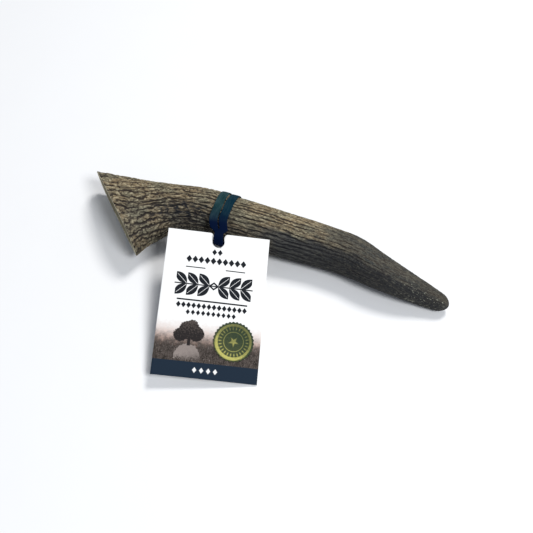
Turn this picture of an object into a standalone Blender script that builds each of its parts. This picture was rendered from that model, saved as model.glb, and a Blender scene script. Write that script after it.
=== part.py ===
"""A sawn deer antler tine lying on its side, with a card hang tag held on by a flat rubber band.

Four pieces: the antler, the doubled band round its beam, the card tag hooked on the band by a keyhole
notch, and the serrated foil seal on the tag. Lengths below are in millimetres and angles in degrees;
the meshes are made in metres. +X runs from the sawn end to the tip and +Z is up.
"""
import math

import bmesh
import bpy
import numpy as np
from mathutils import Matrix, Vector

MM = 0.001
GAP = 0.3                       # clearance left between neighbouring pieces

# The antler's own frame stands this far from the middle of the whole footprint.
FOOTPRINT_SHIFT = (3.3, 20.6)

# Antler: stations along its length. Each has the place of the axis (x, y), the clearance of the underside
# over the ground, the half width across and the half height.
STATIONS = (
    # x,     y,    under, half width, half height
    (-65.5, 0.2, 0.5, 22.6, 10.0),
    (-55.3, 4.2, 1.3, 15.8, 9.6),
    (-43.8, 8.5, 2.2, 10.4, 9.2),
    (-29.8, 11.1, 2.6, 9.4, 8.9),
    (-14.9, 10.8, 2.2, 9.6, 8.7),
    (4.5, 10.8, 0.8, 9.6, 8.6),
    (21.1, 10.7, 0.15, 9.0, 8.4),
    (32.7, 9.4, 0.8, 8.6, 8.0),
    (43.7, 5.8, 2.1, 7.2, 7.2),
    (54.5, 3.6, 2.0, 5.9, 6.1),
    (64.5, 2.9, 0.45, 4.5, 4.9),
    (74.4, 1.9, -0.35, 2.9, 3.6),
)
CUT_HEADING = -46.5             # the long axis of the sawn face, turned from +X in plan
CUT_LEAN = 4.0                  # the sawn face leans out a little at the top
CUT_ROLL = 4.0                  # the front end of the sawn face is higher than the rear
FLARE_LENGTH = 40.0             # sections turn from the saw cut to square over this length
FLARE_TOP_POWER = 2.2           # superellipse powers of the sawn face, above and below its long axis
FLARE_UNDER_POWER = 3.3
BEAM_POWER = 2.0                # plain ellipse along the beam
TIP_ROUNDING = 4.2              # length over which the blunt tip closes
RINGS = 64
AROUND = 48

# Tag
TAG_WIDTH = 39.9
TAG_HEIGHT = 58.1
TAG_THICKNESS = 0.4
TAG_FOOT = (-5.9, -57.5)        # plan position of the middle of its lower edge
TAG_HEADING = -13.0             # plan direction from its lower to its upper edge, turned from +Y
TAG_TILT = 15.4                 # it leans up on the beam
TAG_ROLL = 8.0                  # its left side is lifted
TAG_FOOT_CLEARANCE = 0.2        # lowest corner over the ground
HOLE_U = TAG_WIDTH / 2          # keyhole notch: centre from the left edge, and down from the upper edge
HOLE_DROP = 3.5
HOLE_RADIUS = 2.35
SLOT_HALF_WIDTH = 2.1
LIP_RADIUS = 1.5

# Foil seal
SEAL_U = 29.6                   # centre from the tag's left and lower edges
SEAL_V = 15.4
SEAL_RADIUS = 7.85
SEAL_TOOTH = 0.45
SEAL_TEETH = 34
SEAL_THICKNESS = 0.3

# Band
BAND_WIDTH = 3.4
BAND_PINCH = 0.9                # share of that width left in the notch
BAND_THICKNESS = 0.7
BAND_MIDDLE = -21.2             # place along the antler
BAND_LANE = 1.87                # each turn lies this far to the side of the middle
BAND_CLEARANCE = GAP + 0.05     # over the antler, whose section changes a little under each turn
BAND_LAYER = BAND_THICKNESS + GAP
NOSE_LIFT = 0.25                # extra clearance where the band passes through the notch
RISE_TURN = 40.0                # part of the beam over which the crossing turn lifts to its layer
SPREAD = (0.17, 0.33)           # shares of the free run, from the notch to the beam, between which the two
                                # turns part from one above the other to side by side
SWING = (0.10, 0.85)            # and between which they swing from the notch's place to the band's own
BAND_BEVEL = 0.18
BAND_RUN_STEPS = 22
BAND_WRAP_STEPS = 34
BAND_NOSE_STEPS = 9


def clear_scene():
    for item in list(bpy.data.objects):
        bpy.data.objects.remove(item, do_unlink=True)


def make_material(name, color, roughness, metallic=0.0):
    material = bpy.data.materials.new(name)
    material.use_nodes = True
    shader = material.node_tree.nodes["Principled BSDF"]
    shader.inputs["Base Color"].default_value = (*color, 1.0)
    shader.inputs["Roughness"].default_value = roughness
    shader.inputs["Metallic"].default_value = metallic
    return material


def add_object(name, bm, material, smooth_angle=None):
    """Turn a bmesh into a named object with its material; round pieces are shaded smooth."""
    bmesh.ops.recalc_face_normals(bm, faces=bm.faces)
    mesh = bpy.data.meshes.new(name)
    bm.to_mesh(mesh)
    bm.free()
    mesh.materials.append(material)
    if smooth_angle is not None:
        mesh.shade_smooth()
        mesh.set_sharp_from_angle(angle=math.radians(smooth_angle))
    item = bpy.data.objects.new(name, mesh)
    bpy.context.scene.collection.objects.link(item)
    return item


def unit(vectors):
    return vectors / np.linalg.norm(vectors, axis=-1, keepdims=True)


def spline(knots, values, at):
    """Smooth curve through values at uneven knots: cubic pieces whose slopes are weighted means."""
    knots = np.asarray(knots, float)
    values = np.asarray(values, float)
    step = np.diff(knots)
    chord = np.diff(values) / step
    slope = np.empty_like(values)
    slope[1:-1] = (chord[:-1] * step[1:] + chord[1:] * step[:-1]) / (step[1:] + step[:-1])
    slope[0] = 1.5 * chord[0] - 0.5 * slope[1]
    slope[-1] = 1.5 * chord[-1] - 0.5 * slope[-2]
    piece = np.clip(np.searchsorted(knots, at, side="right") - 1, 0, len(knots) - 2)
    width = step[piece]
    s = (at - knots[piece]) / width
    return ((2 * s**3 - 3 * s**2 + 1) * values[piece] + (s**3 - 2 * s**2 + s) * width * slope[piece]
            + (3 * s**2 - 2 * s**3) * values[piece + 1] + (s**3 - s**2) * width * slope[piece + 1])


def axis_at(x):
    """Axis place (y, z), half width and half height of the antler at places x along it."""
    table = np.array(STATIONS)
    y, under, half_width, half_height = (spline(table[:, 0], column, x) for column in table.T[1:])
    return y, under + half_height, half_width, half_height


def signed_power(values, power):
    return np.sign(values) * np.abs(values)**power


def antler_rings(rings, around):
    """Rings of points round the axis, from the oblique saw cut to just short of the tip."""
    start, end = STATIONS[0][0], STATIONS[-1][0]
    along = np.linspace(0.0, 1.0, rings)
    body = start + (end - TIP_ROUNDING - start) * along
    turn = np.linspace(0.0, math.pi / 2, 9)[1:-1]
    x = np.concatenate([body, end - TIP_ROUNDING * (1 - np.sin(turn))])
    y, z, half_width, half_height = axis_at(x)
    past = np.clip(x - (end - TIP_ROUNDING), 0, TIP_ROUNDING) / TIP_ROUNDING
    closing = np.sqrt(1 - past**2)
    axis = np.stack([x, y, z], 1)
    forward = unit(np.gradient(axis, x, axis=0))

    flare = np.clip(1 - (x - start) / FLARE_LENGTH, 0, 1)**1.5
    square = np.arctan2(forward[:, 1], forward[:, 0]) - math.pi / 2
    heading = square * (1 - flare) + math.radians(CUT_HEADING) * flare
    side = unit(np.stack([np.cos(heading), np.sin(heading), math.sin(math.radians(CUT_ROLL)) * flare], 1))
    outward = math.radians(CUT_HEADING) - math.pi / 2
    lean = math.radians(CUT_LEAN)
    cut_out = np.array([math.cos(outward), math.sin(outward), 0.0])
    cut_up = math.sin(lean) * cut_out + np.array([0.0, 0.0, math.cos(lean)])
    beam_up = unit(np.cross(side, forward))
    beam_up *= np.sign(beam_up[:, 2:])
    up = beam_up * (1 - flare)[:, None] + cut_up * flare[:, None]
    up = unit(up - np.sum(up * side, 1, keepdims=True) * side)

    angle = np.linspace(0, 2 * math.pi, around, endpoint=False)
    end_power = np.where(np.sin(angle) > 0, FLARE_TOP_POWER, FLARE_UNDER_POWER)
    power = 2 / (BEAM_POWER * (1 - flare)[:, None] + end_power * flare[:, None])
    across = (half_width * closing)[:, None] * signed_power(np.cos(angle), power)
    height = (half_height * closing)[:, None] * signed_power(np.sin(angle), power)
    points = axis[:, None] + side[:, None] * across[..., None] + up[:, None] * height[..., None]
    tip_y, tip_z = (value[0] for value in axis_at(np.array([end]))[:2])
    return points, np.array([end, tip_y, tip_z])


def place(points):
    """From the antler's frame in millimetres to the finished frame in metres."""
    return (np.asarray(points, float) + np.array([*FOOTPRINT_SHIFT, 0.0])) * MM


def bridge(bm, rings, closed):
    """Quads between neighbouring rings of vertices; a closed strip also joins the last to the first."""
    pairs = list(zip(rings, rings[1:]))
    if closed:
        pairs.append((rings[-1], rings[0]))
    for one, two in pairs:
        count = len(one)
        for k in range(count):
            n = (k + 1) % count
            bm.faces.new((one[k], one[n], two[n], two[k]))


def make_antler():
    points, tip = antler_rings(RINGS, AROUND)
    bm = bmesh.new()
    rings = [[bm.verts.new(p) for p in ring] for ring in place(points)]
    bridge(bm, rings, closed=False)
    bm.faces.new(rings[0])
    point = bm.verts.new(place(tip))
    last = rings[-1]
    for k, vertex in enumerate(last):
        bm.faces.new((vertex, last[(k + 1) % len(last)], point))
    return add_object("antler", bm, make_material("antler_bark", (0.16, 0.12, 0.08), 0.8), 40)


def tag_axes():
    """Lower left corner of the tag and its across, upward and outward directions."""
    heading, tilt, roll = (math.radians(a) for a in (TAG_HEADING, TAG_TILT, TAG_ROLL))
    upward = Vector((math.sin(heading) * math.cos(tilt), math.cos(heading) * math.cos(tilt), math.sin(tilt)))
    level = Vector((math.cos(heading), -math.sin(heading), 0.0))
    across = level * math.cos(roll) - level.cross(upward) * math.sin(roll)
    outward = across.cross(upward)
    corner = Vector((*TAG_FOOT, 0.0)) - across * (TAG_WIDTH / 2)
    right_foot = corner + across * TAG_WIDTH - outward * (TAG_THICKNESS / 2)
    corner.z += TAG_FOOT_CLEARANCE - right_foot.z
    return corner, across, upward, outward


def tag_matrix():
    """Places a mesh drawn in the tag's plane, in metres from its lower left corner."""
    corner, across, upward, outward = tag_axes()
    turn = Matrix((across, upward, outward)).transposed().to_4x4()
    return Matrix.Translation(Vector(place(corner))) @ turn


def arc(centre, radius, start, end, count):
    """Points on a circular arc between two angles in degrees."""
    angles = np.radians(np.linspace(start, end, count))
    return [(centre[0] + radius * math.cos(a), centre[1] + radius * math.sin(a)) for a in angles]


def slab(outline, bottom, thickness):
    """A flat plate: the outline in millimetres, filled and extruded along the tag's outward direction."""
    bm = bmesh.new()
    base = bm.faces.new([bm.verts.new((u * MM, v * MM, bottom * MM)) for u, v in outline])
    raised = bmesh.ops.extrude_face_region(bm, geom=[base])
    top = [v for v in raised["geom"] if isinstance(v, bmesh.types.BMVert)]
    bmesh.ops.translate(bm, vec=(0, 0, thickness * MM), verts=top)
    return bm


def tag_outline():
    """A rectangle with a keyhole notch in its upper edge: rounded lips, a short slot, a round hole."""
    hole = (HOLE_U, TAG_HEIGHT - HOLE_DROP)
    lip = SLOT_HALF_WIDTH + LIP_RADIUS
    shoulder = TAG_HEIGHT - LIP_RADIUS
    meet = math.degrees(math.acos(SLOT_HALF_WIDTH / HOLE_RADIUS))
    return ([(0, 0), (TAG_WIDTH, 0), (TAG_WIDTH, TAG_HEIGHT)]
            + arc((HOLE_U + lip, shoulder), LIP_RADIUS, 90, 180, 6)
            + arc(hole, HOLE_RADIUS, meet, -180 - meet, 25)
            + arc((HOLE_U - lip, shoulder), LIP_RADIUS, 0, 90, 6)
            + [(0, TAG_HEIGHT)])


def make_tag():
    bm = slab(tag_outline(), -TAG_THICKNESS / 2, TAG_THICKNESS)
    tag = add_object("tag", bm, make_material("printed_card", (0.9, 0.9, 0.88), 0.5))
    tag.matrix_world = tag_matrix()


def make_seal():
    """A foil disc with a serrated rim, lying just clear of the card."""
    outline = []
    for k in range(2 * SEAL_TEETH):
        radius = SEAL_RADIUS - (SEAL_TOOTH if k % 2 else 0.0)
        turn = math.pi * k / SEAL_TEETH
        outline.append((SEAL_U + radius * math.cos(turn), SEAL_V + radius * math.sin(turn)))
    bm = slab(outline, TAG_THICKNESS / 2 + GAP, SEAL_THICKNESS)
    seal = add_object("seal", bm, make_material("gold_foil", (0.62, 0.48, 0.14), 0.25, 1.0))
    seal.matrix_world = tag_matrix()


def smooth_step(ends, values):
    """0 before the first end, 1 after the second, eased between them."""
    t = np.clip((values - ends[0]) / (ends[1] - ends[0]), 0, 1)
    return t * t * (3 - 2 * t)


def belt_tangents(to_point, half):
    """Normals of the two straight runs of a belt round an ellipse and a point, the upper run first.

    With (dy, dz) from the ellipse's centre to the point and half sizes a and b, the lines through the
    point that touch the ellipse have normals whose tangent t solves
    (dz^2 - b^2) t^2 + 2 dy dz t + (dy^2 - a^2) = 0.
    """
    (dy, dz), (a, b) = to_point, half
    root = math.sqrt((dy * dz)**2 - (dz**2 - b**2) * (dy**2 - a**2))
    normals = []
    for sign in (-1, 1):
        angle = math.atan((-dy * dz + sign * root) / (dz**2 - b**2))
        if dy * math.cos(angle) + dz * math.sin(angle) < 0:
            angle += math.pi
        normals.append(angle % (2 * math.pi))
    return sorted(normals)


def band_turn(lane, first_layer, last_layer, nose, slot_slope):
    """One turn of the band, starting where it leaves the notch over the tag.

    In the plane across the beam its inside follows the tightest belt round the beam's ellipse and the
    nose point; the strip's middle line is that belt moved out along its normal.
    Returns rows of (x, y, z, normal y, normal z, width).
    """
    nose_x, *nose = nose
    nose = np.array(nose)
    y, z, half_width, half_height = (v[0] for v in axis_at(np.array([BAND_MIDDLE + lane * BAND_LANE])))
    centre, half = np.array([y, z]), np.array([half_width, half_height])
    over, under = belt_tangents(nose - centre, half)
    under -= 2 * math.pi

    run = np.linspace(0, 1, BAND_RUN_STEPS)
    wrap = np.linspace(over, under, BAND_WRAP_STEPS)[1:-1]
    turn = np.linspace(under, over - 2 * math.pi, BAND_NOSE_STEPS)[1:-1]
    angle = np.concatenate([np.full(len(run), over), wrap, np.full(len(run), under), turn])
    away = np.concatenate([run, np.ones(len(wrap)), run[::-1], np.zeros(len(turn))])
    normal = np.stack([np.cos(angle), np.sin(angle)], 1)
    on_beam = centre + normal * half**2 / np.linalg.norm(normal * half, axis=1, keepdims=True)
    inside = nose + (on_beam - nose) * away[:, None]

    rise = (0.0, math.radians(RISE_TURN))
    layer = (first_layer * (1 - smooth_step(rise, over - angle))
             + last_layer * (1 - smooth_step(rise, angle - under)))
    offset = BAND_CLEARANCE + BAND_THICKNESS / 2 + NOSE_LIFT * (1 - away) + BAND_LAYER * layer
    middle = inside + normal * offset[:, None]
    spread = smooth_step(SPREAD, away)
    in_slot = nose_x + slot_slope * (middle[:, 0] - nose[0])
    x = in_slot + (BAND_MIDDLE - in_slot) * smooth_step(SWING, away) + lane * BAND_LANE * spread
    width = BAND_WIDTH * (BAND_PINCH + (1 - BAND_PINCH) * spread)
    return np.column_stack([x, middle, normal, width])


def strip_section(x, y, z, normal_y, normal_z, width):
    """The strip's cross-section: a flat rectangle with bevelled corners, its long side along the antler."""
    w, h, c = width / 2, BAND_THICKNESS / 2, BAND_BEVEL
    lower = [(-w, c - h), (c - w, -h), (w - c, -h), (w, c - h)]
    corners = lower + [(-a, -b) for a, b in lower]
    return [(x + a, y + normal_y * b, z + normal_z * b) for a, b in corners]


def make_band():
    """One closed strip wound twice round the beam; the turns cross one over the other in the notch."""
    corner, across, upward, _ = tag_axes()
    hole = corner + across * HOLE_U + upward * (TAG_HEIGHT - HOLE_DROP)
    stack_middle = BAND_CLEARANCE + NOSE_LIFT + (BAND_THICKNESS + BAND_LAYER) / 2
    nose = hole + upward * (stack_middle / math.hypot(upward.y, upward.z))
    slot_slope = upward.x / upward.y
    rows = [band_turn(lane, first, last, nose, slot_slope) for lane, first, last in ((-1, 0, 1), (1, 1, 0))]
    bm = bmesh.new()
    rings = [[bm.verts.new(p) for p in place(strip_section(*row))] for row in np.concatenate(rows)]
    bridge(bm, rings, closed=True)
    add_object("band", bm, make_material("rubber_band", (0.02, 0.05, 0.07), 0.55), 50)


clear_scene()
make_antler()
make_tag()
make_seal()
make_band()
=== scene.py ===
import itertools
import math
import bmesh
import bpy
import numpy as np
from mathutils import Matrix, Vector


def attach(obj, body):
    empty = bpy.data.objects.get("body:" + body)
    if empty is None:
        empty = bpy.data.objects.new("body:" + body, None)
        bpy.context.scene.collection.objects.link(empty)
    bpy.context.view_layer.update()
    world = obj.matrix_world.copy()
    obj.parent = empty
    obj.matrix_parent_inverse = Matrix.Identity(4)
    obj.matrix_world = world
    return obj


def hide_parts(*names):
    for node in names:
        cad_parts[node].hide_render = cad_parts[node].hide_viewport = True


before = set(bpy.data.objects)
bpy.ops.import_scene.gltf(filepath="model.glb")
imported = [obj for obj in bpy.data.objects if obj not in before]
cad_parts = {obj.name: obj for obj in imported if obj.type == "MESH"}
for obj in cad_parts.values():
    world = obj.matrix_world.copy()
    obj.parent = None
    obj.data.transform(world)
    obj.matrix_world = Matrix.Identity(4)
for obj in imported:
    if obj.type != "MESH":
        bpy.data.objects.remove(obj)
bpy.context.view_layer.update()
print("frame loaded:", ", ".join(sorted(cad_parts)))

mm = 0.001     # the dictionaries below are in millimetres and degrees


def unit(vectors):
    # each vector over its own length
    return vectors / np.linalg.norm(vectors, axis=-1, keepdims=True)


def signedPower(values, power):
    # sign(value) * |value|^power
    return np.sign(values) * np.abs(values)**power


def fullTurn(count):
    # angles at even steps round a circle
    return np.linspace(0, 2 * math.pi, count, endpoint=False)


def walkedAlong(points):
    # distance walked from a line's first point to each of its points
    steps = np.linalg.norm(np.diff(points, axis=-2), axis=-1)
    return np.concatenate([0 * steps[..., :1], np.cumsum(steps, -1)], -1)


def smoothStep(low, high, values):
    # 0 below low, 1 above high and 3t^2 - 2t^3 between them
    t = np.clip((values - low) / (high - low), 0, 1)
    return t * t * (3 - 2 * t)


def throughKnots(knots, values, at):
    # cubic pieces through uneven knots; each slope is the weighted mean of its two chords
    knots, values = np.asarray(knots, float), np.asarray(values, float)
    step = np.diff(knots)
    chord = np.diff(values) / step
    slope = np.empty_like(values)
    slope[1:-1] = (chord[:-1] * step[1:] + chord[1:] * step[:-1]) / (step[1:] + step[:-1])
    slope[0] = 1.5 * chord[0] - 0.5 * slope[1]
    slope[-1] = 1.5 * chord[-1] - 0.5 * slope[-2]
    piece = np.clip(np.searchsorted(knots, at, side="right") - 1, 0, len(knots) - 2)
    width = step[piece]
    s = (at - knots[piece]) / width
    return ((2 * s**3 - 3 * s**2 + 1) * values[piece] + (s**3 - 2 * s**2 + s) * width * slope[piece]
            + (3 * s**2 - 2 * s**3) * values[piece + 1] + (s**3 - s**2) * width * slope[piece + 1])


def hashRows(cell, shuffle):
    # one row of 256 for each whole-number cell: shuffle[shuffle[shuffle[x] + y] + z]
    cell = cell & 255
    return shuffle[(shuffle[(shuffle[cell[..., 0]] + cell[..., 1]) & 255] + cell[..., 2]) & 255]


def slopeNoise(points, seed):
    # each whole-number corner holds a random slope; the eight sloping planes are blended, about -0.7 to 0.7
    draw = np.random.default_rng(seed)
    shuffle = draw.permutation(256)
    slopes = unit(draw.normal(size=(256, 3)))
    cell = np.floor(points).astype(int)
    inside = points - cell
    ease = inside**3 * (inside * (inside * 6 - 15) + 10)
    total = np.zeros(points.shape[:-1])
    for corner in itertools.product((0, 1), repeat=3):
        corner = np.array(corner)
        plane = np.sum(slopes[hashRows(cell + corner, shuffle)] * (inside - corner), -1)
        total += plane * np.prod(np.where(corner == 1, ease, 1 - ease), -1)
    return total


def cellBorders(points, seed):
    # distance to the second nearest scattered seed less that to the nearest: 0 on a border between cells
    draw = np.random.default_rng(seed)
    shuffle = draw.permutation(256)
    seeds = draw.random((256, 3))
    cell = np.floor(points).astype(int)
    nearest = np.full(points.shape[:-1], 9.0)
    second = nearest.copy()
    for corner in itertools.product((-1, 0, 1), repeat=3):
        place = cell + np.array(corner)
        away = np.linalg.norm(place + seeds[hashRows(place, shuffle)] - points, axis=-1)
        second = np.minimum(second, np.maximum(away, nearest))
        nearest = np.minimum(away, nearest)
    return second - nearest


def gridFaces(rows, columns, firstVertex=0, closedRows=False, closedColumns=True):
    # quads between neighbouring rows of a grid whose vertices are numbered row by row
    r = np.arange(rows if closedRows else rows - 1)[:, None]
    c = np.arange(columns if closedColumns else columns - 1)[None]
    nextRow, nextColumn = (r + 1) % rows, (c + 1) % columns
    quads = np.stack([r * columns + c, r * columns + nextColumn,
                      nextRow * columns + nextColumn, nextRow * columns + c], -1)
    return quads.reshape(-1, 4) + firstVertex


def fanFaces(ring, point):
    # triangles from a closed ring of vertex numbers to one point
    return np.stack([ring, np.roll(ring, -1), np.full(len(ring), point)], -1)


def intoScene(name, data):
    # a new object that holds the data, at the origin
    made = bpy.data.objects.new(name, data)
    bpy.context.scene.collection.objects.link(made)
    return made


def makePiece(name, points, faces, stored, finishes):
    # points in millimetres, whole-number faces and what each point stores, one number or three, as one mesh
    mesh = bpy.data.meshes.new(name)
    mesh.from_pydata((points * mm).tolist(), [], list(itertools.chain(*(part.tolist() for part in faces))))
    for key, values in stored.items():
        kind, slot = ("FLOAT", "value") if np.size(values) == len(points) else ("FLOAT_VECTOR", "vector")
        mesh.attributes.new(key, kind, "POINT").data.foreach_set(slot, np.float32(values).ravel())
    bm = bmesh.new()
    bm.from_mesh(mesh)
    bmesh.ops.recalc_face_normals(bm, faces=bm.faces)
    bm.to_mesh(mesh)
    bm.free()
    mesh.shade_smooth()
    for finish in finishes:
        mesh.materials.append(finish)
    print(name + ":", len(points), "points,", len(mesh.polygons), "faces")
    return intoScene(name, mesh)


def standFor(piece, node):
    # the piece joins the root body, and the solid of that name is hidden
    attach(piece, "root")
    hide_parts(node)


def mathNode(operation, swapped=False):
    # a method that works its socket and the other value out in one Math node
    def added(wire, *others):
        return wire.finish.sums(operation, *((*others, wire) if swapped else (wire, *others)))
    return added


class Wire:
    # a shader socket that is added, multiplied and so on like a number
    def __init__(self, finish, socket):
        self.finish = finish
        self.socket = socket

    __add__ = __radd__ = mathNode("ADD")
    __sub__ = mathNode("SUBTRACT")
    __rsub__ = mathNode("SUBTRACT", True)
    __mul__ = __rmul__ = mathNode("MULTIPLY")
    __truediv__ = mathNode("DIVIDE")
    __rtruediv__ = mathNode("DIVIDE", True)
    __pow__ = mathNode("POWER")
    __mod__ = mathNode("FLOORED_MODULO")
    __abs__ = mathNode("ABSOLUTE")
    most = mathNode("MAXIMUM")

    def step(self, low, high):
        # 0 below low and 1 above high, eased; falls instead when low is the larger one
        if low > high:
            return 1 - self.step(high, low)
        return self.finish.node("MapRange", {"interpolation_type": "SMOOTHSTEP"},
                                {"Value": self, "From Min": low, "From Max": high})


class Finish:
    # a material made of nodes
    def __init__(self, name):
        self.material = bpy.data.materials.new(name)
        self.material.use_nodes = True
        self.tree = self.material.node_tree
        self.tree.nodes.clear()

    def node(self, kind, settings=None, sockets=None, output=0):
        made = self.tree.nodes.new("ShaderNode" + kind)
        for key, value in (settings or {}).items():
            setattr(made, key, value)
        for key, value in (sockets or {}).items():
            if isinstance(value, Wire):
                self.tree.links.new(value.socket, made.inputs[key])
            else:
                made.inputs[key].default_value = value
        return Wire(self, made.outputs[output]) if len(made.outputs) else None

    def sums(self, operation, *values):
        return self.node("Math", {"operation": operation}, dict(enumerate(values)))

    def mix(self, share, first, second):
        first, second = (value if isinstance(value, Wire) else (*value, 1.0) for value in (first, second))
        return self.node("Mix", {"data_type": "RGBA"}, {0: share, 6: first, 7: second}, 2)

    def parts(self, vector):
        apart = self.node("SeparateXYZ", None, {0: vector})
        return [Wire(self, output) for output in apart.socket.node.outputs]

    def times(self, vector, factors):
        return self.node("VectorMath", {"operation": "MULTIPLY"}, {0: vector, 1: factors})

    def stored(self, name, output="Fac"):
        return self.node("Attribute", {"attribute_name": name}, None, output)

    def place(self):
        return self.node("TexCoord", None, None, "Object")

    def noise(self, vector, scale, detail=3.0, roughness=0.5, warp=0.0):
        # scale is one number, or three where the noise is stretched
        if isinstance(scale, tuple):
            vector, scale = self.times(vector, scale), 1.0
        return self.node("TexNoise", None, {"Vector": vector, "Scale": scale, "Detail": detail,
                                            "Roughness": roughness, "Distortion": warp})

    def surface(self, color, roughness, shine, bump=None, metallic=0.0):
        # bump holds a height, how many millimetres it stands for and its strength
        sockets = {"Base Color": color, "Roughness": roughness, "Specular IOR Level": shine,
                   "Metallic": metallic}
        if bump:
            height, distance, strength = bump
            sockets["Normal"] = self.node("Bump", None, {"Height": height, "Distance": distance * mm,
                                                         "Strength": strength})
        shader = self.node("BsdfPrincipled", None, sockets)
        self.node("OutputMaterial", None, {"Surface": shader})
        return self.material


# The antler has the same stations as the solid, so that its surface is where the solid's is.
antlerShape = {
    "foot": (3.3, 20.6, 0.0),   # the stations' own origin in the finished frame
    "x": (-65.5, -55.3, -43.8, -29.8, -14.9, 4.5, 21.1, 32.7, 43.7, 54.5, 64.5, 74.4),
    "y": (0.2, 4.2, 8.5, 11.1, 10.8, 10.8, 10.7, 9.4, 5.8, 3.6, 2.9, 1.9),
    "under": (0.5, 1.3, 2.2, 2.6, 2.2, 0.8, 0.15, 0.8, 2.1, 2.0, 0.45, -0.35),
    "halfWidth": (22.6, 15.8, 10.4, 9.4, 9.6, 9.6, 9.0, 8.6, 7.2, 5.9, 4.5, 2.9),
    "halfHeight": (10.0, 9.6, 9.2, 8.9, 8.7, 8.6, 8.4, 8.0, 7.2, 6.1, 4.9, 3.6),
    "cutHeading": -46.5,        # the long way of the sawn face, from +X
    "cutLean": 4.0,
    "cutRoll": 4.0,
    "flareLength": 40.0,
    "flarePowers": (2.2, 3.3),  # how square the sawn face is, above and below
    "tipRounding": 4.2,
    "rings": 268,
    "tipRings": 9,
    "crowded": 1.12,            # how much closer together the rings lie near the cut
    "traced": 1440,             # points of a ring before it is walked evenly
    "around": 330,
}

barkRelief = {
    "ridges": 32,                  # round the antler
    "sway": (1.6, 0.85, 0.38),     # how far they wander, in ridges, over the three runs below
    "swayRun": ((18.0, 5.0), (7.0, 2.4), (2.0, 1.2)),   # along and across
    "calmed": (0.45, 20.0, 60.0),  # share of the wandering lost between these distances from the cut
    "rounding": 0.85,              # less makes the ridges fuller
    "shallow": 0.45,               # depth left where a groove peters out
    "deepRun": (7.0, 2.0),         # along and across, how soon it does so
    "deepFrom": (-0.22, 0.18),     # more leaves fewer grooves deep
    "fine": ((5.0, 0.75), 0.55),   # run along and across of the finer grooves, and their half width
    "fineDepth": 0.38,
    "bead": ((2.3, 1.5), 0.55),    # the same of the cracks that part ridges into beads
    "beadDepth": (0.15, 0.50, 0.35),   # everywhere, more near the cut, and more on the tine
    "beadFrom": (12.0, 75.0),      # distance from the cut over which beads fade
    "beadRagged": ((8.0, 6.0), 14.0),  # run and reach of the noise added to that distance
    "tineFrom": (95.0, 125.0),     # and over which ridges give way to short pits
    "x": (-65.0, -40.0, -15.0, 15.0, 34.0, 50.0, 68.0, 75.0),
    "depth": (1.00, 0.92, 0.76, 0.66, 0.50, 0.36, 0.26, 0.16),
    "level": 0.85,                 # share of the bark's height that lies on the plain outline
    "lumpSize": 13.0,
    "lumpLevel": 0.2,              # the swelling that lies on the outline
    "lumpDepth": (0.30, 0.0),      # at the cut and at the tip
    "bandSeat": (-21.2, 4.3, 5.8, 0.15),   # middle, two half widths and depth of the place the band presses
    "lowest": 0.02,                # ridges that touch the floor are worn flat at this height
}

# Stains and soot of the bark, and the painted shade of its front and low side
barkStainAndShade = {
    "facing": (0.0, 0.55, 0.83),  # stains and painted shade follow how far the bark faces this way, up and back
    "under": (0.66, 0.28, 0.40),  # facing over which the stain below sets in, and its raggedness; it is partly real stain and partly painted shade
    "underX": (-24.0, 6.0),       # and the places along the antler
    "patch": (0.32, 0.40, 0.16),  # facing at the dark patch's middle, and its two half widths
    "patchX": (-54.0, -44.0, -22.0, -12.0),   # where it sets in, is full, fades and ends
    "patchDepth": (0.30, 0.45),   # between its spots, and what the spots add
    "soot": 1.4,                  # how much darker the patch is where soot clings
    "paintedFrontShade": (0.90, 0.45, 0.30),  # facing over which painted shade darkens the front, and how much
    "paintedLowShade": (0.30, -0.05, 0.45),   # the same painted shade, low down
}

sawnShape = {
    "rings": 24,
    "aside": 80,          # a point of the cut about a quarter of the way round
    "rim": (2.2, 4.4),    # distance from the edge over which the dense rim becomes core
    "waver": (3.0, 1.2),  # size and depth of the wavering of that border
    "cell": 1.15,         # pits follow the borders between cells of this size
    "border": (0.16, 0.04),
    "grit": 0.7,          # and the swells of a noise of this size
    "sunk": (0.12, 0.3),  # depth of the core and of the pits in it
    "middleSunk": 0.15,
}


def axisAt(x):
    # place of the axis (y, z), half width and half height at places x
    y, under, halfWidth, halfHeight = (throughKnots(antlerShape["x"], antlerShape[key], x)
                                       for key in ("y", "under", "halfWidth", "halfHeight"))
    return y, under + halfHeight, halfWidth, halfHeight


def evenlyRound(rings, count):
    # each closed ring is walked at equal steps of its own length, its girth
    closed = np.concatenate([rings, rings[:, :1]], 1)
    walked = walkedAlong(closed)
    shares = np.linspace(0, 1, count, endpoint=False)
    return np.array([[np.interp(shares * walk[-1], walk, line) for line in ring.T]
                     for walk, ring in zip(walked, closed)]).transpose(0, 2, 1), walked[:, -1]


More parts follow.
